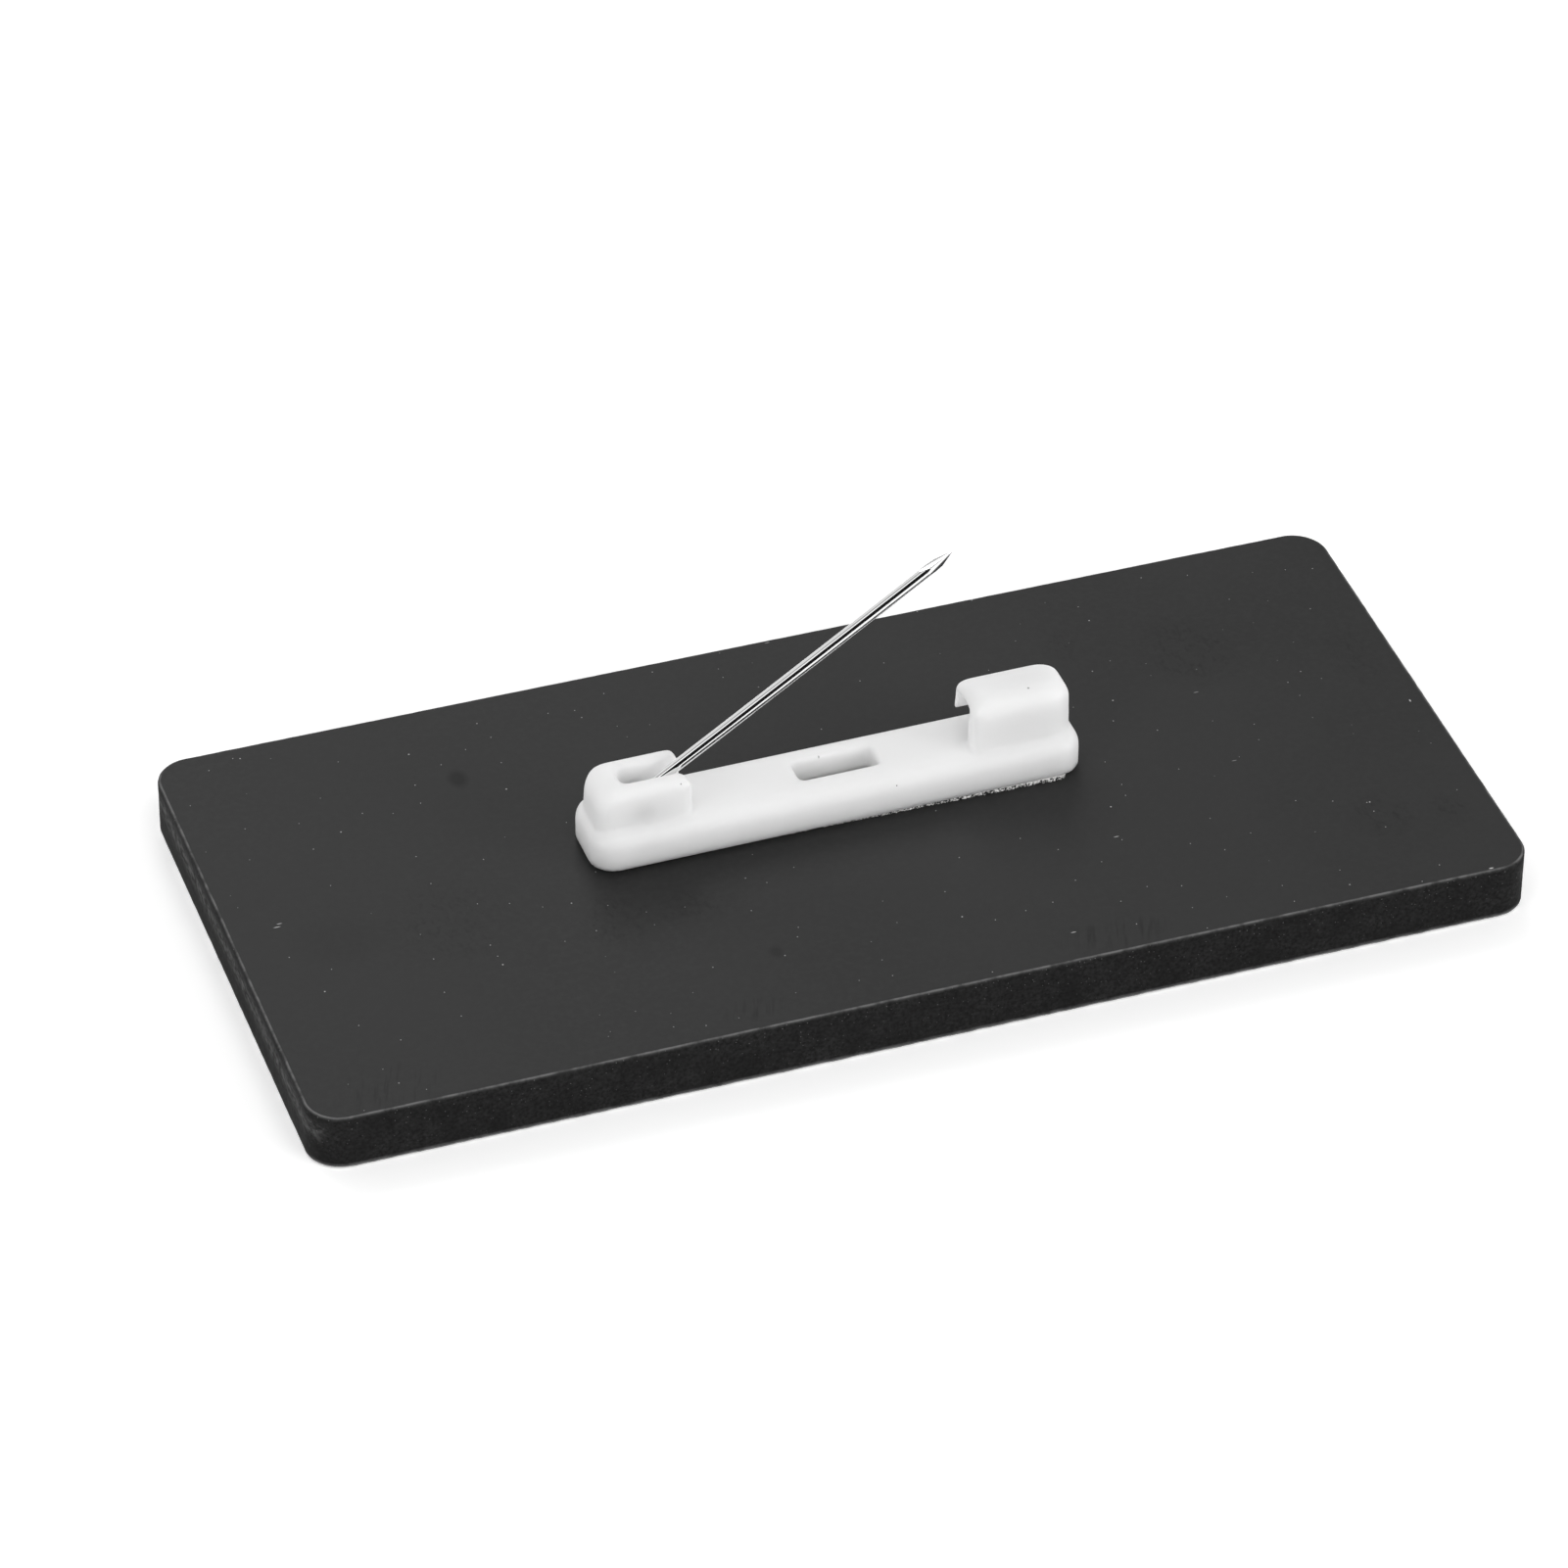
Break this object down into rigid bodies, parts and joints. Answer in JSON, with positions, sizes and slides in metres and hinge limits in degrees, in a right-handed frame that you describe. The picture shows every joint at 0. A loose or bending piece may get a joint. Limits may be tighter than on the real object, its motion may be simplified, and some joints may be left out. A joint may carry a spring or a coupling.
{
  "type": "name badge",
  "caption": "Flat rectangular name badge lying on its front, with a moulded bar pin stuck to its back and its steel needle swung open.",
  "frame": {"origin": "centre of the badge's front face, which lies on the table", "axes": "+X along the badge from the pin's hinge to its catch, +Y across the badge, +Z out of its back"},
  "size_m": [0.075, 0.035, 0.0203],
  "materials": {
    "black_plastic": "satin, with fine rubbing marks and dust",
    "foam_tape": "dull, speckled at its cut edge",
    "white_nylon": "moulded, softly shining",
    "steel_wire": "bright plated steel wire with a ground point"
  },
  "bodies": {
    "badge": {"badge_plate": "black_plastic", "adhesive_tape": "foam_tape", "pin_base": "white_nylon"},
    "needle": {"needle": "steel_wire"}
  },
  "joints": [
    {"name": "needle_swing", "type": "hinge", "parent": "badge", "child": "needle", "pos_m": [-0.01223, 0.00116, 0.00709], "axis": [0.0105, -0.9999, 0], "range_deg": [-25.5, 75]}
  ]
}
